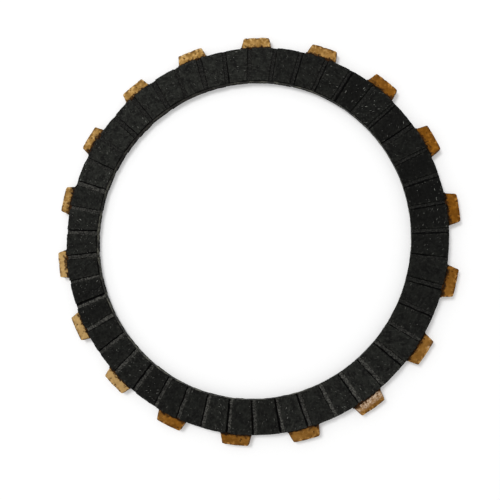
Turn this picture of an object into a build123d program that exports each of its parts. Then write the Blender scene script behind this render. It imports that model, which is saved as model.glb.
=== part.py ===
from build123d import *
import os
from math import radians, sin, tan

# Wet-clutch friction plate: a cast core with drive tabs, and friction segments bonded to both faces.
# Millimetres. The plate lies flat. Z is the plate's axis, Z = 0 is the face it lies on, and one
# drive tab is centred on +Y.

# Core: one aluminium casting.
CORE_BORE_RADIUS = 58.6
CORE_RING_WIDTH = 12.4       # from the bore to the rim between the tabs
CORE_THICKNESS = 2.2

# Drive tabs, part of the casting.
TAB_COUNT = 18
TAB_HEIGHT = 4.0             # from the rim to the crown, which is an arc about the plate's axis
TAB_ROOT_WIDTH = 11.4        # across the tab where it leaves the rim
TAB_FLANK_LEAN = 12.5        # degrees each flank leans in towards the tip
TAB_CORNER_RADIUS = 0.6
TAB_ROOT_FILLET = 0.8
TAB_CROWN_CHAMFER = 0.3      # turned on both faces of each tip
FIRST_TAB_ANGLE = 90.0

# Friction segments, the same on both faces.
PAD_COUNT = 45
PAD_THICKNESS = 0.75
GROOVE_WIDTH = 1.6           # parallel-sided oil groove between neighbouring segments
PAD_EDGE_MARGIN = 0.1        # core left bare outside and inside the segments
FIRST_PAD_ANGLE = 0.0        # midway between two tabs

# The lower segments share files in groups of separate solids.
REAR_GROUP_COUNT = 9

CORE_RIM_RADIUS = CORE_BORE_RADIUS + CORE_RING_WIDTH
TAB_TIP_RADIUS = CORE_RIM_RADIUS + TAB_HEIGHT

REAR_FACE_Z = 0.0
CORE_BOTTOM_Z = REAR_FACE_Z + PAD_THICKNESS
CORE_TOP_Z = CORE_BOTTOM_Z + CORE_THICKNESS


def tab_blank():
    """One tab pointing along +X with leaning flanks, from inside the rim to past the tip."""
    lean = tan(radians(TAB_FLANK_LEAN))
    inner_x = (CORE_BORE_RADIUS + CORE_RIM_RADIUS) / 2
    outer_x = TAB_TIP_RADIUS + TAB_CORNER_RADIUS
    inner_half = TAB_ROOT_WIDTH / 2 + (CORE_RIM_RADIUS - inner_x) * lean
    outer_half = TAB_ROOT_WIDTH / 2 - (outer_x - CORE_RIM_RADIUS) * lean
    corners = [(inner_x, -inner_half), (outer_x, -outer_half), (outer_x, outer_half), (inner_x, inner_half)]
    return Polygon(*corners, align=None)


def corners_at(outline, radius):
    """The outline's corners that lie on a circle about the axis."""
    return [corner for corner in outline.vertices() if abs(Vector(corner).length - radius) < 0.01]


def core_outline():
    """The casting seen along its axis: rim, tabs with crowned tips, rounded corners and roots."""
    tabs = [Rot(0, 0, FIRST_TAB_ANGLE + tab * 360 / TAB_COUNT) * tab_blank() for tab in range(TAB_COUNT)]
    outline = (Circle(CORE_RIM_RADIUS) + tabs) & Circle(TAB_TIP_RADIUS)
    outline = fillet(corners_at(outline, TAB_TIP_RADIUS), TAB_CORNER_RADIUS)
    return fillet(corners_at(outline, CORE_RIM_RADIUS), TAB_ROOT_FILLET)


def turned_blank():
    """The solid that turning leaves: a flat ring with both edges of its outer wall chamfered."""
    crown_x = TAB_TIP_RADIUS - TAB_CROWN_CHAMFER
    section = Polygon(
        (CORE_BORE_RADIUS, 0),
        (crown_x, 0),
        (TAB_TIP_RADIUS, TAB_CROWN_CHAMFER),
        (TAB_TIP_RADIUS, CORE_THICKNESS - TAB_CROWN_CHAMFER),
        (crown_x, CORE_THICKNESS),
        (CORE_BORE_RADIUS, CORE_THICKNESS),
        align=None,
    )
    return revolve(Plane.XZ * section, Axis.Z)


def core_plate():
    """The casting: the turned ring, kept only inside the outline with its tabs."""
    return Pos(0, 0, CORE_BOTTOM_Z) * (extrude(core_outline(), CORE_THICKNESS) & turned_blank())


def pad_outline():
    """One segment centred on +X: a ring sector whose sides run parallel to its grooves."""
    half_pitch = radians(180 / PAD_COUNT)
    apex_x = GROOVE_WIDTH / 2 / sin(half_pitch)
    reach_x = CORE_RIM_RADIUS
    reach_y = (reach_x - apex_x) * tan(half_pitch)
    sector = Polygon((apex_x, 0), (reach_x, -reach_y), (reach_x, reach_y), align=None)
    ring = Circle(CORE_RIM_RADIUS - PAD_EDGE_MARGIN) - Circle(CORE_BORE_RADIUS + PAD_EDGE_MARGIN)
    return ring & sector


def place_pad(pad, index, base_z):
    """A copy of the segment at its place in the ring, standing on base_z."""
    return Rot(0, 0, FIRST_PAD_ANGLE + index * 360 / PAD_COUNT) * Pos(0, 0, base_z) * pad


def write(shape, node):
    export_step(shape, f"parts/{node}.step")


def main():
    os.makedirs("parts", exist_ok=True)
    write(core_plate(), "core_plate")
    pad = extrude(pad_outline(), PAD_THICKNESS)
    for index in range(PAD_COUNT):
        write(place_pad(pad, index, CORE_TOP_Z), f"front_pad_{index + 1:02d}")
    group_size = PAD_COUNT // REAR_GROUP_COUNT
    for group in range(REAR_GROUP_COUNT):
        first = group * group_size
        pads = [place_pad(pad, index, REAR_FACE_Z) for index in range(first, first + group_size)]
        write(Compound(pads), f"rear_pads_{group + 1}")


main()
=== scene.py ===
import math

import bpy
import numpy as np
from mathutils import Matrix, Vector


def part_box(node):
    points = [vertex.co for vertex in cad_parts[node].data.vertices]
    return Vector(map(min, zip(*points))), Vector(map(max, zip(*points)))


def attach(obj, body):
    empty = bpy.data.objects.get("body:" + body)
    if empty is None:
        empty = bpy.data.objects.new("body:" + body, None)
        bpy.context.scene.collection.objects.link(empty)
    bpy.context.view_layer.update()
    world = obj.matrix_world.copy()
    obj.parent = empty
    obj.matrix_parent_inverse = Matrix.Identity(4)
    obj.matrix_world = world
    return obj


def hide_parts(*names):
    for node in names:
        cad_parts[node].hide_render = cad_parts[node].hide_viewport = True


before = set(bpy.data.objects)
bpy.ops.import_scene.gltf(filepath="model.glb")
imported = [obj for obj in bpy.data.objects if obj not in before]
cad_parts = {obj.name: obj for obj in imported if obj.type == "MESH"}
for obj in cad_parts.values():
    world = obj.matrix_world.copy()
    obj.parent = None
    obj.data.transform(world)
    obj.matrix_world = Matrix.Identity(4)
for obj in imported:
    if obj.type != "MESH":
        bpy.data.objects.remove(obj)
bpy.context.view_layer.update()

MM = 0.001
TURN = 2 * math.pi

# The core casting.
BORE_RADIUS = 58.6 * MM
RING_WIDTH = 12.4 * MM
RIM_RADIUS = BORE_RADIUS + RING_WIDTH
TAB_HEIGHT = 4.0 * MM
TIP_RADIUS = RIM_RADIUS + TAB_HEIGHT
TAB_COUNT = 18
TAB_PITCH = TURN / TAB_COUNT
FIRST_TAB = math.radians(90)
TAB_ROOT_WIDTH = 11.4 * MM
FLANK_LEAN = math.radians(12.5)
CORNER_SOFTNESS = 0.3 * MM
CORE_EDGE_ROUND = 0.22 * MM

# The friction segments. The wear is what each side has lost beside its groove.
PAD_COUNT = 45
PAD_PITCH = TURN / PAD_COUNT
PAD_EDGE_MARGIN = 0.1 * MM
PAD_INNER = BORE_RADIUS + PAD_EDGE_MARGIN
PAD_OUTER = RIM_RADIUS - PAD_EDGE_MARGIN
PAD_LENGTH = PAD_OUTER - PAD_INNER
PAD_MIDDLE = (PAD_INNER + PAD_OUTER) / 2
GROOVE_WIDTH = 1.6 * MM
PAD_SIDE_WEAR = 0.1 * MM
HALF_GROOVE = GROOVE_WIDTH / 2 + PAD_SIDE_WEAR
PAD_EDGE_ROUND = 0.12 * MM
PADS_IN_REAR_GROUP = 5

# Heights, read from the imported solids.
CORE_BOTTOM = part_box("core_plate")[0].z
CORE_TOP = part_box("core_plate")[1].z
CORE_MIDDLE = (CORE_BOTTOM + CORE_TOP) / 2
FRONT_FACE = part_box("front_pad_01")[1].z
REAR_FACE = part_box("rear_pads_1")[0].z

# The groove floors are palest on the side of the plate that this angle points to.
PALE_SIDE = math.radians(245)
# The coating is tan with a painted sheen, paler with a painted highlight, or most stained at the tab roots
# on these sides.
TAN_AND_SHEEN_SIDE = math.radians(151)
HIGHLIGHT_SIDE = math.radians(212)
STAINED_SIDE = math.radians(165)
# One tab has lost most of its coating, and the coating near it is less browned.
WORN_TAB = math.radians(310)
# On this side, where the key light comes from, the grooves run along the light and the painted shadow in
# their cracks is narrower, the segments have more pale flecks and the bore's wall, which faces away from
# the light, is browner with painted shade.
KEY_LIGHT_SIDE = math.radians(122)
# The segments are darkest along the diagonal at the first angle, and a little darker towards the second:
# painted shade, standing in for the uneven sheen the light gives them round the plate.
DARK_DIAGONAL = math.radians(35)
DARK_SIDE = math.radians(325)

# How far the segments stray: round the ring, turned in their places, and outwards.
PAD_SLIP = math.radians(0.16)
PAD_TWIST = math.radians(0.7)
PAD_PUSH = 0.05 * MM
# How dark they are, from 0 to 1: on the whole, with the diagonal and the side as painted shade, and each by
# itself as its own tone.
DARKNESS = 0.42
DIAGONAL_DARKNESS = 0.32
SIDE_DARKNESS = 0.2
DARKNESS_SPREAD = 0.2
# How strongly their flecks show, and how much more they do on the key light's side.
FLECK_SHARES = (0.15, 0.85)
KEY_SIDE_FLECKS = 0.7

# Relief is (size, depth): how wide its lumps are and how far they go. Hollows have a third value: they form
# only where the noise passes it.
EDGE_WAVES = (1.3 * MM, 0.07 * MM)
EDGE_TEETH = (0.45 * MM, 0.05 * MM)
FACE_GRAINS = ((1.6 * MM, 0.012 * MM), (0.4 * MM, 0.012 * MM))
PITS = (0.7 * MM, 0.09 * MM, 0.35)
CHIPS = (0.9 * MM, 0.3 * MM, 0.2)
# Chips and rubbing fade out this far in from a segment's edge, and rubbing ends this far down its wall.
CHIPS_REACH = 0.35 * MM
RUBBING_REACH = 0.5 * MM
RUBBING_DEPTH = 0.2 * MM
# A wall's painted shade is full at this depth, and stronger at a segment's two ends than along its grooves.
WALL_SHADE_DEPTH = 0.3 * MM
END_WALL_SHADE = 0.85
SIDE_WALL_SHADE = 0.3
# The casting's relief has two depths: sideways and upwards. Its dents are deeper along worn edges, and its
# nicks are there only, drawn out up and down the wall.
CAST_WAVES = (2.2 * MM, 0.05 * MM, 0.02 * MM)
CAST_GRAINS = (0.7 * MM, 0.04 * MM, 0.03 * MM)
DENT_SIZE = 0.9 * MM
DENT_DEPTH = 0.06 * MM
EDGE_DENT_DEPTH = 0.22 * MM
DENTS_SPARE = 0.3
NICK_SIZE = 1.1 * MM
NICK_DEPTH = 0.35 * MM
NICKS_SPARE = 0.35
NICK_STRETCH = 2.5
# How fast the wear of a tab's face falls off inwards, and how worn the wall of the rim and tabs is.
WEAR_FALL = 8
RIM_WALL_WEAR = 0.2
# The worn tab's metal starts to show at the first distance inside the tip, and is bare from the second on.
BARE_START = 1.1 * MM
BARE_FULL = 1.9 * MM
# The next tab is chipped within the first distance of its tip, and most within the second.
CHIPPED_START = 0.9 * MM
CHIPPED_FULL = 0.5 * MM
CHIPPED_MOST = 0.9
CHIPPED_PATCHES = (1.3 * MM, 3)

# The film of glue and dust on a groove's floor. It runs under both segments, and a crack parts it from one,
# mostly the clockwise one, where the film dips a little and is painted black as a shadow of that wall. A
# film or bead lies at its bed's height or higher, with its root in the core.
FILM_OVERLAP = 0.25 * MM
FILM_END_MARGIN = 0.03 * MM
FILM_BED = 0.06 * MM
FILM_THICKNESS = 0.09 * MM
FILM_EDGE = 0.05 * MM
FILM_ROOT = -0.02 * MM
FILM_GRIT = (0.3 * MM, 0.03 * MM)
FILM_LUMPS = (0.8 * MM, 0.05 * MM)
FILM_DUST = (0.4, 1.0)
CRACK_WIDTH = (0.3 * MM, 0.6 * MM)
CRACK_WANDER = (2.2 * MM, 0.12 * MM)
CRACK_SLOPE = 0.1 * MM
CRACK_NARROWING = 0.75
CLOCKWISE_CRACKS = 0.85
# The bead of resin at a tab's root, a little longer than the root, and the line of glue along bore and rim.
BEAD_OVERLAP = 0.25 * MM
BEAD_REACH = 0.5 * MM
BEAD_HEIGHT = 0.22 * MM
BEAD_BED = 0.01 * MM
BEAD_EDGE = 0.01 * MM
BEAD_ROOT = -0.06 * MM
BEAD_TONGUES = (1.1 * MM, 0.22 * MM)
BEAD_TEETH = (0.4 * MM, 0.1 * MM)
BEAD_SWELLS = (0.6 * MM, 0.5)
BEAD_STRETCH = 1.02
BEAD_END_SPAN = 5 * MM
LINE_RADIUS = 0.14 * MM
LINE_MARGIN = 0.08 * MM
LINE_FLATNESS = 0.9
# How thick the line is, as shares of its radius: on the whole, with its swells, and at its least and most.
LINE_MEAN = 0.75
LINE_LONG_SWELLS = (2.0 * MM, 0.6)
LINE_SHORT_SWELLS = (0.7 * MM, 0.4)
LINE_LIMITS = (0.2, 2)
# Which level of a film or bead a point is on.
UPPER, LOWER = 0, 1

# Colours, as they are on a screen, from 0 to 255. First the friction material.
FIBRE_BLACK = (21, 21, 20)
FIBRE_GREY = (38, 39, 36)
MOTTLE_GREY = (52, 53, 49)
STREAK_GREY = (62, 63, 58)
PORE_BLACK = (8, 8, 7)
TONE_AND_SHADE_BLACK = (13, 13, 12)
FLECK_GREY = (142, 143, 136)
RUBBED_GREY = (66, 66, 61)
PAD_WALL_PAINTED_SHADE = (10, 10, 9)
# Glue, dust and resin.
GLUE_BLACK = (24, 24, 23)
GLUE_GREY = (48, 48, 45)
DUST_DARK = (42, 42, 40)
DUST_PALE = (92, 91, 86)
DUST_HOLLOW = (30, 30, 28)
SHADOW_AND_JOINT_BLACK = (4, 4, 4)
RESIN_DARK = (20, 13, 7)
RESIN_AMBER = (58, 33, 10)
# The casting and its coating.
TAN = (162, 127, 72)
BROWNED = (127, 80, 16)
DEEP_TAN = (134, 100, 48)
DEEP_BROWNED = (106, 64, 10)
PALE_TAN = (184, 152, 100)
PALE_BROWNED = (146, 96, 26)
RUBBED_HIGHLIGHT_TAN = (198, 170, 122)
RUBBED_HIGHLIGHT_BROWNED = (182, 132, 66)
SPOT_BROWN = (56, 32, 9)
DULL_METAL = (140, 108, 80)
BRIGHT_METAL = (198, 176, 152)
EDGE_GRIME = (82, 50, 16)
WALL_STAIN_AND_SHADE = (74, 44, 14)
STAIN_BROWN = (62, 36, 10)
STAIN_BLACK = (16, 13, 9)
BORE_BLACK = (34, 34, 31)
BORE_OLIVE = (96, 95, 84)
BORE_BLOTCH = (14, 14, 12)
BORE_SHADE_BROWN = (26, 22, 19)

# How finely the meshes are divided: by spacings, or as rows and columns.
FRONT_SPACING = 0.2 * MM
REAR_SPACING = 0.3 * MM
TAB_SPACING = 0.24 * MM
RIM_SPACING = 0.8 * MM
SHARP_OUTLINE_POINTS = 72000
OUTLINE_STEP = 0.04 * MM
TAB_FOOT_RADIUS = RIM_RADIUS + 0.03 * MM
FILM_GRID = (42, 19)
BEAD_GRID = (7, 60)
LINE_GRID = (6, 900)
BORE_FACE_ROWS = 3
TAB_FACE_ROWS = 14
RIM_WALL_SHARES = np.linspace(0.1, 0.9, 6)
BORE_WALL_SHARES = (0.35, 0.65)
PAD_WALL_SHARES = (0.6, 1)
# Where the closer rows of the core's faces begin, and how widely a flank's points are spread round there.
FACE_SHOULDER = RIM_RADIUS - 0.45 * MM
SHOULDER_SPREAD = 1.6 * MM

# The studio. The floor's own glow is seen directly only, and rises to white between the two fade distances.
FLOOR_COLOUR = 0.86
FLOOR_WIDTH = 6.0
FLOOR_ROUGHNESS = 0.9
FLOOR_GLOW = 0.2
FLOOR_FADE_START = 0.16
FLOOR_FADE_END = 0.8
WORLD_LIGHT = 0.6
KEY_POWER = 11.0
KEY_SIZE = 0.55
KEY_DISTANCE = 1.6
KEY_AZIMUTH = math.radians(130)
KEY_ELEVATION = math.radians(64)

# The camera's place and its two tilts, in radians, in a frame turned about the plate's axis.
CAMERA_PLATE_TURN = math.radians(3.03)
CAMERA_POSITION = Vector((40.29, -21.66, 204.70)) * MM
CAMERA_YAW = 0.18967
CAMERA_PITCH = 0.05715
CAMERA_LENS = 40.61
CAMERA_SENSOR = 36
CAMERA_SHIFT = 0.03
CAMERA_NEAREST = 0.01

# Large odd numbers that scramble a cell's place and a seed, and the largest number kept of the result.
CELL_FACTORS = (73856093, 19349663, 83492791)
SEED_FACTOR = 9781
MIXING_FACTOR = 1274126177
LATTICE_TOP = 0xFFFF
# How far apart neighbouring segments lie in the noise that shapes them, and in their grain.
NOISE_STEP = 7 * MM
GRAIN_STEP = (23 * MM, 11 * MM)


# ---------------------------------------------------------------- noise and mesh helpers

def lattice(cell, seed):
    """A repeatable number from -1 to 1 for each whole-number cell."""
    mixed = np.bitwise_xor.reduce(cell * CELL_FACTORS, axis=-1) ^ (seed * SEED_FACTOR)
    mixed = (mixed ^ (mixed >> 13)) * MIXING_FACTOR
    return ((mixed ^ (mixed >> 16)) & LATTICE_TOP) / (LATTICE_TOP / 2) - 1


def noise(points, size, seed):
    """Smooth noise from about -1 to 1 at each point, with lumps of the given size."""
    scaled = points / size
    cell = np.floor(scaled).astype(np.int64)
    part = scaled - cell
    part = part * part * (3 - 2 * part)
    total = np.zeros(points.shape[:-1])
    for corner in np.ndindex(2, 2, 2):
        weight = np.prod(np.where(corner, part, 1 - part), axis=-1)
        total += weight * lattice(cell + np.array(corner), seed)
    return total


def lumps(points, seed, size, depth):
    """Relief that goes up and down by up to the depth."""
    return depth * noise(points, size, seed)


def hollows(points, seed, size, depth, spared):
    """Relief that is 0 but for scattered hollows, where the noise passes the spared value."""
    return depth * np.clip(noise(points, size, seed) - spared, 0, 1)


def roughened(points, seed, size, sideways, upwards=0.0):
    """The points, each pushed by up to these amounts along x and y, and along z."""
    amounts = (sideways, sideways, upwards)
    pushes = [lumps(points, seed + axis, size, amount) for axis, amount in enumerate(amounts)]
    return points + np.stack(pushes, axis=-1)


def ramp(value, start, end):
    """0 up to the start, 1 from the end on, and straight between."""
    return np.clip((value - start) / (end - start), 0, 1)


def polar(radius, angle, height):
    """Points at a distance from the plate's axis, at an angle about it and at a height."""
    radius, angle, height = np.broadcast_arrays(radius, angle, height)
    return np.stack([radius * np.cos(angle), radius * np.sin(angle), height], axis=-1)


def spun(points, angle):
    """The points turned about the plate's axis."""
    c, s = math.cos(angle), math.sin(angle)
    return points @ np.array([[c, s, 0], [-s, c, 0], [0, 0, 1]])


def quarter_round(radius):
    """(inset, depth) pairs round an edge, from its face to its wall."""
    bends = [math.radians(bend) for bend in (0, 30, 60, 90)]
    return [(radius * (1 - math.sin(bend)), radius * (1 - math.cos(bend))) for bend in bends]


def grid_quads(rows, columns, wrap=False):
    """Quads between neighbouring points of a grid stored row by row, wrapping both ways if asked."""
    index = np.arange(rows * columns).reshape(rows, columns)
    if wrap:
        index = np.pad(index, ((0, 1), (0, 1)), mode="wrap")
    corners = [index[:-1, :-1], index[1:, :-1], index[1:, 1:], index[:-1, 1:]]
    return np.stack(corners, axis=-1).reshape(-1, 4)


def block_faces(rows, columns, loops):
    """The faces of a block: a grid, loops down its walls and one flat back. Also the rim of the grid."""
    index = np.arange(rows * columns).reshape(rows, columns)
    rim = np.concatenate([index[0, :-1], index[:-1, -1], index[-1, :0:-1], index[:0:-1, 0]])
    rings = [rim] + [rows * columns + loop * len(rim) + np.arange(len(rim)) for loop in range(loops)]
    walls = [np.stack([upper, np.roll(upper, -1), np.roll(lower, -1), lower], axis=-1)
             for upper, lower in zip(rings, rings[1:])]
    return np.concatenate([grid_quads(rows, columns), *walls]).tolist() + [rings[-1].tolist()], rim


class Parts:
    """Collects closed shells, with a value of each attribute at each point, into one mesh."""

    def __init__(self):
        self.points, self.faces, self.attributes, self.count = [], [], {}, 0

    def add(self, points, faces, mirrored=False, **attributes):
        """Adds a shell. Its attributes are arrays with a value for each point, or single numbers."""
        step = -1 if mirrored else 1
        self.faces += [[corner + self.count for corner in face[::step]] for face in faces]
        self.points.append(points)
        self.count += len(points)
        for key, values in attributes.items():
            self.attributes.setdefault(key, []).append(self.spread(values, len(points)))

    def spread(self, values, count):
        """One value for each point, from as many values or from a single number."""
        return np.broadcast_to(values, (count,) + np.shape(values)[1:])

    def piece(self, name, material, slot, *replaced):
        """Makes the mesh a piece, which rides on the plate and stands for the replaced nodes."""
        mesh = bpy.data.meshes.new(name)
        mesh.from_pydata(np.concatenate(self.points).tolist(), [], self.faces)
        for key, values in self.attributes.items():
            values = np.concatenate(values).astype(np.float32)
            kind, field = ("FLOAT_VECTOR", "vector") if values.ndim == 2 else ("FLOAT", "value")
            mesh.attributes.new(key, kind, "POINT").data.foreach_set(field, values.ravel())
        mesh.materials.append(material)
        mesh.polygons.foreach_set("use_smooth", [True] * len(mesh.polygons))
        mesh.update()
        piece = bpy.data.objects.new(name, mesh)
        bpy.context.scene.collection.objects.link(piece)
        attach(piece, "root")
        if replaced:
            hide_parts(*replaced)


def block(parts, rows, columns, levels, place, mirrored=False, **attributes):
    """Adds a block, whose face is a grid with loops down its walls.

    Levels are (inset, depth) pairs: the face's own, then one for each loop. The function place turns
    (along, across, inset, depth) into points and attributes; along runs from 0 to 1, across from -1 to 1.
    """
    along, across = np.meshgrid(np.linspace(0, 1, rows), np.linspace(-1, 1, columns), indexing="ij")
    faces, rim = block_faces(rows, columns, len(levels) - 1)
    along, across = along.ravel(), across.ravel()
    spans = [(along, across)] + [(along[rim], across[rim])] * (len(levels) - 1)
    stacked = [(a, b, np.full(len(a), inset), np.full(len(a), depth))
               for (a, b), (inset, depth) in zip(spans, levels)]
    points, placed = place(*(np.concatenate(column) for column in zip(*stacked)))
    parts.add(points, faces, mirrored, **placed, **attributes)


# ---------------------------------------------------------------- material helpers

def srgb(red, green, blue):
    """A colour for a shader, from its three values on a screen."""
    return tuple((v / 255 / 12.92 if v <= 10 else ((v / 255 + 0.055) / 1.055) ** 2.4)
                 for v in (red, green, blue)) + (1.0,)


def towards(angle):
    """The direction from the plate's axis to that angle."""
    return math.cos(angle), math.sin(angle), 0


def feed(socket, value):
    """Links another node's output to the socket, or sets the socket's own value."""
    if isinstance(value, bpy.types.NodeSocket):
        socket.id_data.links.new(value, socket)
    else:
        socket.default_value = value


def new_node(tree, kind, inputs=(), **settings):
    """A node with some of its inputs fed; an input given as None keeps its own value."""
    node = tree.nodes.new(kind)
    for key, value in settings.items():
        setattr(node, key, value)
    for socket, value in dict(inputs).items():
        if value is not None:
            feed(node.inputs[socket], value)
    return node


class Finish:
    """A node material with one Principled shader, whose textures are measured in millimetres."""

    def __init__(self, name, **sockets):
        self.material = bpy.data.materials.new(name)
        self.material.use_nodes = True
        self.tree = self.material.node_tree
        self.shader = self.tree.nodes["Principled BSDF"]
        for socket, value in sockets.items():
            self.shader.inputs[socket.replace("_", " ")].default_value = value
        where = new_node(self.tree, "ShaderNodeTexCoord").outputs["Object"]
        self.place = self.vector("SCALE", where, scale=1 / MM)
        self.colour = None

    def vector(self, operation, a, b=None, scale=None):
        inputs = {0: a, 1: b, "Scale": scale}
        node = new_node(self.tree, "ShaderNodeVectorMath", inputs, operation=operation)
        return node.outputs["Value" if operation in ("LENGTH", "DOT_PRODUCT") else "Vector"]

    def math(self, operation, a, b, clamp=False):
        node = new_node(self.tree, "ShaderNodeMath", {0: a, 1: b}, operation=operation, use_clamp=clamp)
        return node.outputs[0]

    def times(self, first, *others):
        for other in others:
            first = self.math("MULTIPLY", first, other)
        return first

    def noise(self, size, detail, at=None):
        inputs = {"Vector": at or self.place, "Scale": 1 / size, "Detail": detail, "Roughness": 0.55}
        return new_node(self.tree, "ShaderNodeTexNoise", inputs).outputs[0]

    def cells(self, size, at=None, output="Distance"):
        inputs = {"Vector": at or self.place, "Scale": 1 / size}
        return new_node(self.tree, "ShaderNodeTexVoronoi", inputs).outputs[output]

    def between(self, value, low, high, start=0.0, end=1.0):
        """The value, where it runs from low to high, as a smooth step from start to end."""
        inputs = {0: value, 1: low, 2: high, 3: start, 4: end}
        return new_node(self.tree, "ShaderNodeMapRange", inputs, interpolation_type="SMOOTHSTEP").outputs[0]

    def from_axis(self):
        """The place without its height, and so its way from the plate's axis."""
        return self.vector("MULTIPLY", self.place, (1, 1, 0))

    def facing(self, angle, low, high, start=0.0, end=1.0):
        """A smooth step with how far a place lies towards the angle: -1 is opposite it, and 1 is there."""
        outward = self.vector("NORMALIZE", self.from_axis())
        return self.between(self.vector("DOT_PRODUCT", outward, towards(angle)), low, high, start, end)

    def specks(self, size, extent, share, channel, at=None):
        """Specks in the middles of cells, fading out over the extent, each as strong as its cell's draw."""
        drawn = self.vector("DOT_PRODUCT", self.cells(size, at, "Color"), channel)
        return self.times(self.between(self.cells(size, at), *extent, 1, 0), self.between(drawn, *share))

    def attribute(self, name, output="Fac"):
        return new_node(self.tree, "ShaderNodeAttribute", attribute_name=name).outputs[output]

    def mix(self, share, a, b):
        """The first colour, with a share of the second. Each is a socket or three values on a screen."""
        node = new_node(self.tree, "ShaderNodeMix", data_type="RGBA")
        feed(node.inputs[0], share)
        for socket, colour in ((6, a), (7, b)):
            feed(node.inputs[socket], srgb(*colour) if isinstance(colour, tuple) else colour)
        return node.outputs[2]

    def coat(self, share, colour):
        """Lays another colour over what is there."""
        self.colour = self.mix(share, self.colour, colour)

    def done(self, roughness, *bumps):
        """Feeds the shader, with bumps given as (height, depth in millimetres), and gives the material."""
        normal = None
        for height, depth in bumps:
            inputs = {"Height": height, "Distance": depth * MM, "Normal": normal}
            normal = new_node(self.tree, "ShaderNodeBump", inputs).outputs[0]
        feed(self.shader.inputs["Base Color"], self.colour)
        feed(self.shader.inputs["Roughness"], roughness)
        feed(self.shader.inputs["Normal"], normal)
        return self.material


# ---------------------------------------------------------------- materials

def friction_finish():
    """Dark pressed fibre and cork, each segment with its own tone and grain, and darkened round the plate
    by painted shade.
    """
    f = Finish("friction_segment", Specular_IOR_Level=0.04)
    grain = f.vector("SCALE", f.attribute("grain", "Vector"), scale=1 / MM)
    fibres = f.vector("MULTIPLY", grain, (0.28, 1.6, 1.0))
    cloud = f.noise(2.6, 4, at=grain)
    mottle = f.noise(0.9, 3, at=grain)
    streak = f.noise(0.9, 3, at=fibres)
    pores = f.noise(0.7, 2, at=grain)
    f.colour = f.mix(f.between(cloud, 0.34, 0.64), FIBRE_BLACK, FIBRE_GREY)
    f.coat(f.between(mottle, 0.5, 0.68, 0, 0.55), MOTTLE_GREY)
    f.coat(f.between(streak, 0.56, 0.7, 0, 0.45), STREAK_GREY)
    f.coat(f.between(pores, 0.32, 0.42, 0.8, 0), PORE_BLACK)
    # Each segment's own tone, darkened further round the plate by painted shade.
    f.coat(f.attribute("tone"), TONE_AND_SHADE_BLACK)
    # Pale flecks of fibre, some of them round and some short threads along the grain, gathered in patches.
    dots = f.specks(0.8, (0.08, 0.2), (0.45, 0.95), (1, 0, 0))
    threads = f.specks(0.9, (0.09, 0.19), (0.45, 0.9), (0, 1, 0), at=fibres)
    gathered = f.between(f.noise(2.4, 2), 0.42, 0.6, 0.35, 1.0)
    flecks = f.times(f.math("MAXIMUM", dots, threads), f.attribute("flecked"), gathered)
    f.coat(flecks, FLECK_GREY)
    f.coat(f.times(f.attribute("wear"), f.between(f.noise(0.8, 3), 0.5, 0.66, 0, 0.4)), RUBBED_GREY)
    # Painted shade on the segments' walls.
    f.coat(f.attribute("wall"), PAD_WALL_PAINTED_SHADE)
    fuzz = f.noise(0.16, 3, at=grain)
    roughness = f.between(mottle, 0.3, 0.7, 0.9, 0.6)
    return f.done(roughness, (cloud, 0.05), (mottle, 0.04), (fuzz, 0.02), (flecks, 0.04))


def glue_finish():
    """Cured adhesive and friction dust on the groove floors, paler on one side of the plate, with painted
    shadow in the cracks.
    """
    f = Finish("glue_film", Specular_IOR_Level=0.03)
    grit = f.noise(0.5, 3)
    clots = f.noise(1.2, 3)
    glue = f.mix(f.between(grit, 0.42, 0.68), GLUE_BLACK, GLUE_GREY)
    dust = f.mix(f.between(grit, 0.38, 0.64), DUST_DARK, DUST_PALE)
    dust = f.mix(f.between(clots, 0.38, 0.52, 0.7, 0), dust, DUST_HOLLOW)
    f.colour = f.mix(f.times(f.facing(PALE_SIDE, -0.2, 0.4), f.attribute("dusty")), glue, dust)
    # The gap is how far the film's edge lies away, in millimetres. It is below 0 in a crack, whose black is
    # a painted shadow, and on the dark joint lines along bore and rim.
    gap = f.math("ADD", f.attribute("gap"), f.between(f.noise(0.9, 4), 0.35, 0.65, -0.14, 0.14))
    f.coat(f.between(gap, -0.05, 0.05, 1, 0), SHADOW_AND_JOINT_BLACK)
    f.coat(f.attribute("resin"), f.mix(f.between(clots, 0.42, 0.6), RESIN_DARK, RESIN_AMBER))
    return f.done(f.between(clots, 0.3, 0.7, 0.85, 0.55), (clots, 0.08), (grit, 0.06))


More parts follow.
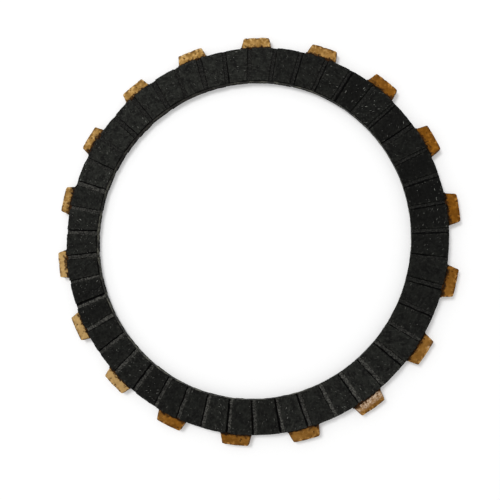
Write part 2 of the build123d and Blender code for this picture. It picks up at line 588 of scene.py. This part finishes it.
def core_finish():
    """A gold-coated casting: stained by resin at the tab roots, rubbed pale on its edges, with painted
    sheen, highlights and shade.
    """
    f = Finish("gold_core", Metallic=0.45, Specular_IOR_Level=0.06)
    broad = f.noise(3.0, 3)
    patch = f.noise(1.1, 4)
    fine = f.noise(0.4, 3)
    # The coating is pale tan on one side of the plate and browned on the other, partly its own browning and
    # partly painted sheen and shade.
    less_browned = f.facing(WORN_TAB, 0.6, 0.95, 0, 0.35)
    browned_and_shaded = f.math("SUBTRACT", f.facing(TAN_AND_SHEEN_SIDE, -0.3, 0.45, 1, 0), less_browned, clamp=True)
    plain = f.mix(browned_and_shaded, TAN, BROWNED)
    f.colour = f.mix(f.between(broad, 0.35, 0.65), plain, f.mix(browned_and_shaded, DEEP_TAN, DEEP_BROWNED))
    # A painted highlight makes the coating paler towards a second side.
    f.coat(f.facing(HIGHLIGHT_SIDE, 0.8, 0.95, 0, 0.7), PALE_TAN)
    f.coat(f.between(patch, 0.54, 0.7, 0, 0.45), f.mix(browned_and_shaded, PALE_TAN, PALE_BROWNED))
    spots = f.times(f.between(f.cells(1.5), 0.16, 0.3, 1, 0), f.between(f.noise(1.6, 2), 0.5, 0.57))
    f.coat(f.times(spots, 0.9), SPOT_BROWN)
    # Bare metal, where one tab has lost its coating.
    bare = f.times(f.attribute("bare"), f.between(f.noise(1.5, 4), 0.36, 0.56, 0.25, 1.0))
    f.coat(bare, f.mix(f.between(fine, 0.38, 0.62), DULL_METAL, BRIGHT_METAL))
    # Edges rubbed through, their paleness partly a painted highlight, or grimy, in patches, and walls
    # darkened brown, partly by stain and partly by painted shade.
    rubbed = f.times(f.attribute("wear"), f.between(patch, 0.5, 0.62, 0, 0.8))
    f.coat(rubbed, f.mix(browned_and_shaded, RUBBED_HIGHLIGHT_TAN, RUBBED_HIGHLIGHT_BROWNED))
    f.coat(f.times(f.attribute("wear"), f.between(patch, 0.42, 0.56, 0.85, 0)), EDGE_GRIME)
    # The walls' brown is partly stain and partly painted shade.
    f.coat(f.times(f.attribute("wall"), 0.85), WALL_STAIN_AND_SHADE)
    # The resin's stain along each tab's root, measured outwards from the rim, darkest next to the segments.
    from_rim = f.math("SUBTRACT", f.vector("LENGTH", f.from_axis()), RIM_RADIUS / MM)
    frayed = f.between(f.noise(1.5, 3), 0.3, 0.7, -1.0, 0.6)
    receded = f.facing(STAINED_SIDE, 0.8, 1.0, 0.9, 0.1)
    stain = f.math("ADD", from_rim, f.math("ADD", frayed, receded))
    f.coat(f.between(stain, 0.9, 2.0, 0.9, 0), STAIN_BROWN)
    f.coat(f.between(stain, 0.5, 1.0, 0.95, 0), STAIN_BLACK)
    # The bore's wall, far inside the rim, is olive grey with dark blotches.
    olive = f.mix(f.between(f.noise(3.2, 4), 0.46, 0.62), BORE_BLACK, BORE_OLIVE)
    olive = f.mix(f.between(f.noise(0.9, 3), 0.38, 0.48, 0.9, 0), olive, BORE_BLOTCH)
    # Painted shade browns the bore's wall on the key light's side, where it faces away from the light.
    olive = f.mix(f.facing(KEY_LIGHT_SIDE, 0.7, 0.95, 0, 0.65), olive, BORE_SHADE_BROWN)
    f.coat(f.between(from_rim, -9.0, -6.0, 1, 0), olive)
    return f.done(f.between(patch, 0.3, 0.7, 0.7, 0.5), (patch, 0.07), (fine, 0.03), (spots, -0.06))


# ---------------------------------------------------------------- friction segments

def friction_segment(parts, number, angle, face, back, spacing, draws):
    """One segment, a little out of its place, with ragged edges and a pitted face."""
    down = math.copysign(1, back - face)
    thickness = abs(back - face)
    slip, twist = draws.normal(0, PAD_SLIP), draws.normal(0, PAD_TWIST)
    push = draws.normal(0, PAD_PUSH)
    grain_turn = draws.uniform(0, math.pi)
    # Darker along a diagonal and towards one side as painted shade, then spread by the segment's own tone.
    tone = (DARKNESS + DIAGONAL_DARKNESS * math.cos(2 * (angle - DARK_DIAGONAL))
            + SIDE_DARKNESS * math.cos(angle - DARK_SIDE))
    tone = np.clip(tone + draws.uniform(-DARKNESS_SPREAD, DARKNESS_SPREAD), 0, 1)
    toward_key = max(0, math.cos(angle - KEY_LIGHT_SIDE))
    flecked = min(1, draws.uniform(*FLECK_SHARES) * (1 + KEY_SIDE_FLECKS * toward_key))

    def place(along, across, inset, level):
        radius = PAD_INNER + inset + along * (PAD_LENGTH - 2 * inset)
        half_angle = PAD_PITCH / 2 - np.arcsin((HALF_GROOVE + inset) / radius)
        from_edge = np.minimum(np.minimum(along, 1 - along) * PAD_LENGTH,
                               (1 - np.abs(across)) * half_angle * radius)
        # Laid out about the segment's own middle, then twisted, pushed outwards and carried to its place.
        local = polar(radius, across * half_angle, 0) - (PAD_MIDDLE, 0, 0)
        local = spun(local, twist) + (PAD_MIDDLE + push, 0, 0)
        points = spun(local, angle + slip)
        seeded = points + (0, 0, number * NOISE_STEP)
        points = points + (roughened(roughened(seeded, 11, *EDGE_WAVES), 21, *EDGE_TEETH) - seeded)
        pits = hollows(seeded, 31, *PITS)
        grains = sum(depth + lumps(seeded, 32 + layer, size, depth)
                     for layer, (size, depth) in enumerate(FACE_GRAINS))
        chips = hollows(seeded, 34, *CHIPS) * np.exp(-from_edge / CHIPS_REACH)
        points[:, 2] = face + down * (level + (pits + grains + chips) * (1 - level / thickness))
        grain = spun(local, grain_turn) + (number * GRAIN_STEP[0], number * GRAIN_STEP[1], 0)
        wear = np.exp(-from_edge / RUBBING_REACH) * (level < RUBBING_DEPTH)
        shade = np.where(np.abs(across) > 0.99, SIDE_WALL_SHADE, END_WALL_SHADE)
        return points, {"grain": grain, "wear": wear, "wall": ramp(level, 0, WALL_SHADE_DEPTH) * shade}

    rows = round(PAD_LENGTH / spacing)
    columns = round(PAD_MIDDLE * PAD_PITCH / spacing)
    levels = quarter_round(PAD_EDGE_ROUND) + [(0, thickness * share) for share in PAD_WALL_SHARES]
    block(parts, rows, columns, levels, place, down > 0, tone=tone, flecked=flecked)


def front_segments(material):
    """The upper segments, one piece each."""
    draws = np.random.default_rng(45)
    for number in range(PAD_COUNT):
        parts = Parts()
        friction_segment(parts, number, number * PAD_PITCH, FRONT_FACE, CORE_TOP, FRONT_SPACING, draws)
        name = f"front_pad_{number + 1:02d}"
        parts.piece("segment_" + name, material, "friction", name)


def rear_segments(material):
    """The lower segments, in groups and coarser. In the noise they come after the front ones."""
    draws = np.random.default_rng(54)
    for first in range(0, PAD_COUNT, PADS_IN_REAR_GROUP):
        parts = Parts()
        for number in range(first, first + PADS_IN_REAR_GROUP):
            angle = number * PAD_PITCH
            friction_segment(parts, number + PAD_COUNT, angle, REAR_FACE, CORE_BOTTOM, REAR_SPACING, draws)
        name = f"rear_pads_{first // PADS_IN_REAR_GROUP + 1}"
        parts.piece("segments_" + name, material, "friction", name)


# ---------------------------------------------------------------- core

def blurred(values, width):
    """Values along a closed line in outline steps, smoothed with a bell curve of the given width."""
    reach = int(4 * width / OUTLINE_STEP)
    offsets = np.arange(-reach, reach + 1)
    bell = np.exp(-0.5 * (offsets * OUTLINE_STEP / width) ** 2)
    padded = np.pad(values, reach, mode="wrap")
    return np.convolve(padded, bell / bell.sum(), mode="valid")


def sharp_outline():
    """The outer edge with sharp corners, as points close together, and their angles about the axis."""
    angle = np.linspace(0, TURN, SHARP_OUTLINE_POINTS, endpoint=False)
    from_tab = np.abs((angle - FIRST_TAB + TAB_PITCH / 2) % TAB_PITCH - TAB_PITCH / 2)
    half = TAB_ROOT_WIDTH / 2
    lean = math.tan(FLANK_LEAN)
    flank = half + math.sqrt(RIM_RADIUS**2 - half**2) * lean
    radius = np.clip(flank / (np.sin(from_tab) + np.cos(from_tab) * lean), RIM_RADIUS, TIP_RADIUS)
    return polar(radius, angle, 0)[:, :2], angle


def core_outline():
    """The outer edge as points, outward normals and the angle of each point's place on the shoulder."""
    line, angle = sharp_outline()
    steps = np.linalg.norm(np.roll(line, -1, axis=0) - line, axis=1)
    travel = np.concatenate([[0], np.cumsum(steps)])
    closed = np.concatenate([line, line[:1]])
    even = np.arange(0, travel[-1], OUTLINE_STEP)
    x, y = (blurred(np.interp(even, travel, closed[:, axis]), CORNER_SOFTNESS) for axis in (0, 1))
    # Up a flank the angle hardly changes, so the places on the shoulder are spread out.
    evenly = even / travel[-1] * TURN
    spread = blurred(np.interp(even, travel, np.append(angle, TURN)) - evenly, SHOULDER_SPREAD) + evenly
    # Points are picked closer together on the tabs than along the rim.
    on_tab = np.hypot(x, y) > TAB_FOOT_RADIUS
    density = np.cumsum(np.where(on_tab, 1 / TAB_SPACING, 1 / RIM_SPACING)) * OUTLINE_STEP
    picks = np.searchsorted(density, np.linspace(0, density[-1], int(density[-1]), endpoint=False))
    tangent = np.stack([np.roll(x, -1) - np.roll(x, 1), np.roll(y, -1) - np.roll(y, 1)], axis=-1)[picks]
    tangent /= np.linalg.norm(tangent, axis=1, keepdims=True)
    return np.stack([x, y], axis=-1)[picks], tangent @ np.array([[0, -1], [1, 0]]), spread[picks]


def core_skin(edge, normal, spoke):
    """The skin's points, wear and wall shade, as rows that go round the section from the bore's top."""
    fold = CORE_EDGE_ROUND
    rows = []

    def row(points, height, worn=0.0, walled=0.0):
        count = len(points)
        placed = np.column_stack([points, np.full(count, height)])
        rows.append((placed, np.full(count, worn), np.full(count, walled)))

    def at_rim(inset):
        return edge - normal * inset

    def at_bore(inset):
        return spoke * (BORE_RADIUS + inset)

    def face(height, order):
        """Rows over one face: a few near the bore, then closer ones from the shoulder to the outline."""
        shoulder = spoke * FACE_SHOULDER
        radii = np.linspace(BORE_RADIUS + fold, FACE_SHOULDER, BORE_FACE_ROWS, endpoint=False)
        shares = np.linspace(0, 1, TAB_FACE_ROWS, endpoint=False)
        near_bore = [(spoke * radius, 0.0) for radius in radii]
        near_edge = [(shoulder + share * (at_rim(fold) - shoulder), share) for share in shares]
        for points, share in (near_bore + near_edge)[::order]:
            row(points, height, worn=math.exp(-(1 - share) * WEAR_FALL) if share else 0.0)

    def rounding(at, height, into, order, worn=0.0):
        """Rows round an edge, from face to wall or back. Into is 1 or -1, from the face into the core."""
        for inset, depth in quarter_round(fold)[::order]:
            row(at(inset), height + into * depth, worn)

    face(CORE_TOP, 1)
    rounding(at_rim, CORE_TOP, -1, 1, worn=1.0)
    for share in RIM_WALL_SHARES:
        row(edge, CORE_TOP - fold - share * (CORE_TOP - CORE_BOTTOM - 2 * fold), RIM_WALL_WEAR, 1.0)
    rounding(at_rim, CORE_BOTTOM, 1, -1, worn=1.0)
    face(CORE_BOTTOM, -1)
    rounding(at_bore, CORE_BOTTOM, 1, 1)
    for share in BORE_WALL_SHARES:
        row(at_bore(0), CORE_BOTTOM + share * (CORE_TOP - CORE_BOTTOM), walled=1.0)
    rounding(at_bore, CORE_TOP, -1, -1)
    return [np.concatenate(column) for column in zip(*rows)]


def cast_relief(points, worn):
    """The points on a rough skin, dented on its faces and nicked along its worn edges."""
    relief = roughened(roughened(points, 41, *CAST_WAVES), 51, *CAST_GRAINS)
    dents = hollows(points, 61, DENT_SIZE, DENT_DEPTH + EDGE_DENT_DEPTH * worn, DENTS_SPARE)
    relief[:, 2] -= np.sign(points[:, 2] - CORE_MIDDLE) * dents
    outward = relief[:, :2] / np.linalg.norm(relief[:, :2], axis=1, keepdims=True)
    nicks = hollows(points * (1, 1, 1 / NICK_STRETCH), 62, NICK_SIZE, NICK_DEPTH * worn, NICKS_SPARE)
    relief[:, :2] -= outward * nicks[:, None]
    return relief


def bare_metal(points):
    """How bare each point is: one tab's upper face but for its tip, and chips in the tip of the next."""
    away = (np.arctan2(points[:, 1], points[:, 0]) - WORN_TAB + math.pi) % TURN - math.pi
    inside_tip = TIP_RADIUS - np.hypot(points[:, 0], points[:, 1])
    on_worn = (np.abs(away) < TAB_PITCH / 3) & (points[:, 2] > CORE_MIDDLE)
    on_next = np.abs(away - TAB_PITCH) < TAB_PITCH / 3
    chips = np.clip(lumps(points, 63, *CHIPPED_PATCHES), 0, 1)
    chipped = chips * np.minimum(ramp(inside_tip, CHIPPED_START, CHIPPED_FULL), CHIPPED_MOST)
    return on_worn * ramp(inside_tip, BARE_START, BARE_FULL) + on_next * chipped


def core_casting(material):
    """The ring and its tabs as one closed skin."""
    edge, normal, angle = core_outline()
    points, worn, walled = core_skin(edge, normal, polar(1.0, angle, 0)[:, :2])
    faces = grid_quads(len(points) // len(edge), len(edge), wrap=True).tolist()
    parts = Parts()
    parts.add(cast_relief(points, worn), faces, wear=worn, wall=walled, bare=bare_metal(points))
    parts.piece("gold_core", material, "core", "core_plate")


# ---------------------------------------------------------------- glue

def groove_film(parts, angle, core_face, up, draws):
    """Glue and dust on one groove's floor, packed against one wall and cracked away from the other, where a
    painted shadow goes.
    """
    half = HALF_GROOVE + FILM_OVERLAP
    start, end = BORE_RADIUS + FILM_END_MARGIN, RIM_RADIUS - FILM_END_MARGIN
    cracked = -1 if draws.uniform() < CLOCKWISE_CRACKS else 1
    # The crack's painted shadow is narrower where the groove runs along the key light.
    toward_key = CRACK_NARROWING * max(0, math.cos(angle - KEY_LIGHT_SIDE)) ** 3
    crack = draws.uniform(*CRACK_WIDTH) * (1 - toward_key)
    dusty = draws.uniform(*FILM_DUST)

    def place(along, across, inset, level):
        outwards = start + inset + along * (end - start - 2 * inset)
        points = np.stack([outwards, across * (half - inset), np.zeros(len(along))], axis=-1)
        points = spun(points, angle)
        grit = lumps(points, 71, *FILM_GRIT) + lumps(points, 72, *FILM_LUMPS)
        wander = lumps(points, 74, *CRACK_WANDER)
        # The crack's edge wanders, but on its other side the film stays against the segment.
        from_cracked = (1 - cracked * across) * half - FILM_OVERLAP + wander
        from_other = (1 + cracked * across) * half - FILM_OVERLAP + wander
        gap = np.minimum(from_cracked - crack, from_other + CRACK_WANDER[1])
        lift = FILM_BED + (FILM_THICKNESS + grit) * ramp(gap, 0, CRACK_SLOPE)
        points[:, 2] = core_face + up * np.where(level == LOWER, FILM_ROOT, lift)
        return points, {"gap": gap / MM}

    levels = [(FILM_EDGE, UPPER), (0, LOWER)]
    block(parts, *FILM_GRID, levels, place, up < 0, resin=0.0, dusty=dusty)


def root_bead(parts, angle, core_face, up):
    """Resin squeezed out along one tab's root, ragged and thinning outwards."""
    half_angle = math.asin(TAB_ROOT_WIDTH / 2 / RIM_RADIUS) * BEAD_STRETCH
    start = PAD_OUTER - BEAD_OVERLAP

    def place(along, across, inset, level):
        turned = angle + across * half_angle * (1 - inset / BEAD_END_SPAN)
        root = polar(RIM_RADIUS, turned, 0)
        end = PAD_OUTER + BEAD_REACH + lumps(root, 81, *BEAD_TONGUES) + lumps(root, 82, *BEAD_TEETH)
        points = polar(start + inset + along * (end - start - 2 * inset), turned, 0)
        height = BEAD_HEIGHT * (1 + lumps(points, 83, *BEAD_SWELLS))
        lift = height * (1 - along**2) * (1 - across**6) + BEAD_BED
        points[:, 2] = core_face + up * np.where(level == LOWER, BEAD_ROOT, lift)
        return points, {}

    levels = [(BEAD_EDGE, UPPER), (0, LOWER)]
    block(parts, *BEAD_GRID, levels, place, up < 0, resin=1.0, gap=1.0, dusty=1.0)


def edge_line(parts, radius, outward, height, seed):
    """A thin line of glue where the segments meet the core, all round the bore or the rim."""
    sides, count = LINE_GRID
    around = np.linspace(0, TURN, count, endpoint=False)
    circle = polar(radius, around, height)
    swell = LINE_MEAN + lumps(circle, seed, *LINE_LONG_SWELLS) + lumps(circle, seed + 1, *LINE_SHORT_SWELLS)
    swell = LINE_RADIUS * np.clip(swell, *LINE_LIMITS)
    rows = []
    for turned in (side * TURN / sides for side in range(sides)):
        reach = radius + outward * swell * math.cos(turned)
        rows.append(polar(reach, around, height + swell * LINE_FLATNESS * math.sin(turned)))
    faces = grid_quads(sides, count, wrap=True).tolist()
    parts.add(np.concatenate(rows), faces, outward > 0, resin=0.0, gap=-1.0, dusty=0.0)


def glue(name, core_face, up, material, seed):
    """All the glue on one face of the core."""
    parts = Parts()
    draws = np.random.default_rng(seed)
    for number in range(PAD_COUNT):
        groove_film(parts, (number + 0.5) * PAD_PITCH, core_face, up, draws)
    for number in range(TAB_COUNT):
        root_bead(parts, FIRST_TAB + number * TAB_PITCH, core_face, up)
    edge_line(parts, BORE_RADIUS + LINE_MARGIN, -1, core_face, seed)
    edge_line(parts, RIM_RADIUS - LINE_MARGIN, 1, core_face, seed + 2)
    parts.piece(name, material, "friction")


# ---------------------------------------------------------------- studio

def seen_directly(tree):
    """A number that is 1 for camera, glossy and transmission rays, and 0 for the rest."""
    path = new_node(tree, "ShaderNodeLightPath")
    total = path.outputs["Is Camera Ray"]
    for name in ("Is Glossy Ray", "Is Transmission Ray"):
        inputs = {0: total, 1: path.outputs[name]}
        total = new_node(tree, "ShaderNodeMath", inputs, operation="ADD", use_clamp=True).outputs[0]
    return total


def floor_finish():
    """Plain matt paint, with a glow that only the camera, reflections and glass see."""
    f = Finish("floor", Base_Color=(FLOOR_COLOUR,) * 3 + (1,), Roughness=FLOOR_ROUGHNESS,
               Specular_IOR_Level=0.0, Emission_Color=(1, 1, 1, 1))
    distance = f.vector("LENGTH", f.place)
    fade = {0: distance, 1: FLOOR_FADE_START / MM, 2: FLOOR_FADE_END / MM, 3: FLOOR_GLOW, 4: 1.0}
    glow = f.times(seen_directly(f.tree), new_node(f.tree, "ShaderNodeMapRange", fade).outputs[0])
    feed(f.shader.inputs["Emission Strength"], glow)
    return f.material


def floor():
    half = FLOOR_WIDTH / 2
    corners = [(-half, -half, 0), (half, -half, 0), (half, half, 0), (-half, half, 0)]
    mesh = bpy.data.meshes.new("floor")
    mesh.from_pydata(corners, [], [(0, 1, 2, 3)])
    mesh.materials.append(floor_finish())
    plane = bpy.data.objects.new("floor", mesh)
    bpy.context.scene.collection.objects.link(plane)


def surroundings():
    """Even light from all round, which is white where it is seen directly."""
    world = bpy.data.worlds.new("studio")
    world.use_nodes = True
    bpy.context.scene.world = world
    tree = world.node_tree
    light = {0: seen_directly(tree), 3: WORLD_LIGHT, 4: 1.0}
    background = tree.nodes["Background"]
    background.inputs["Color"].default_value = (1, 1, 1, 1)
    feed(background.inputs["Strength"], new_node(tree, "ShaderNodeMapRange", light).outputs[0])


def key_light():
    light = bpy.data.lights.new("key", "AREA")
    light.shape, light.size, light.energy = "DISK", KEY_SIZE, KEY_POWER
    lamp = bpy.data.objects.new("key", light)
    away = Vector((math.cos(KEY_AZIMUTH) * math.cos(KEY_ELEVATION),
                   math.sin(KEY_AZIMUTH) * math.cos(KEY_ELEVATION), math.sin(KEY_ELEVATION)))
    lamp.location = away * KEY_DISTANCE
    lamp.rotation_euler = away.to_track_quat("Z", "Y").to_euler()
    bpy.context.scene.collection.objects.link(lamp)


def camera():
    data = bpy.data.cameras.new("camera")
    data.lens, data.sensor_width = CAMERA_LENS, CAMERA_SENSOR
    data.clip_start, data.shift_y = CAMERA_NEAREST, CAMERA_SHIFT
    view = bpy.data.objects.new("camera", data)
    turned = Matrix.Rotation(CAMERA_PLATE_TURN, 4, "Z")
    tilted = Matrix.Rotation(CAMERA_YAW, 4, "Y") @ Matrix.Rotation(CAMERA_PITCH, 4, "X")
    view.matrix_world = turned @ Matrix.Translation(CAMERA_POSITION) @ tilted
    bpy.context.scene.collection.objects.link(view)
    bpy.context.scene.camera = view


friction = friction_finish()
cured = glue_finish()
front_segments(friction)
rear_segments(friction)
core_casting(core_finish())
glue("glue_front", CORE_TOP, 1, cured, 91)
glue("glue_rear", CORE_BOTTOM, -1, cured, 95)
floor()
surroundings()
key_light()
camera()
bpy.context.scene.view_settings.view_transform = "Standard"
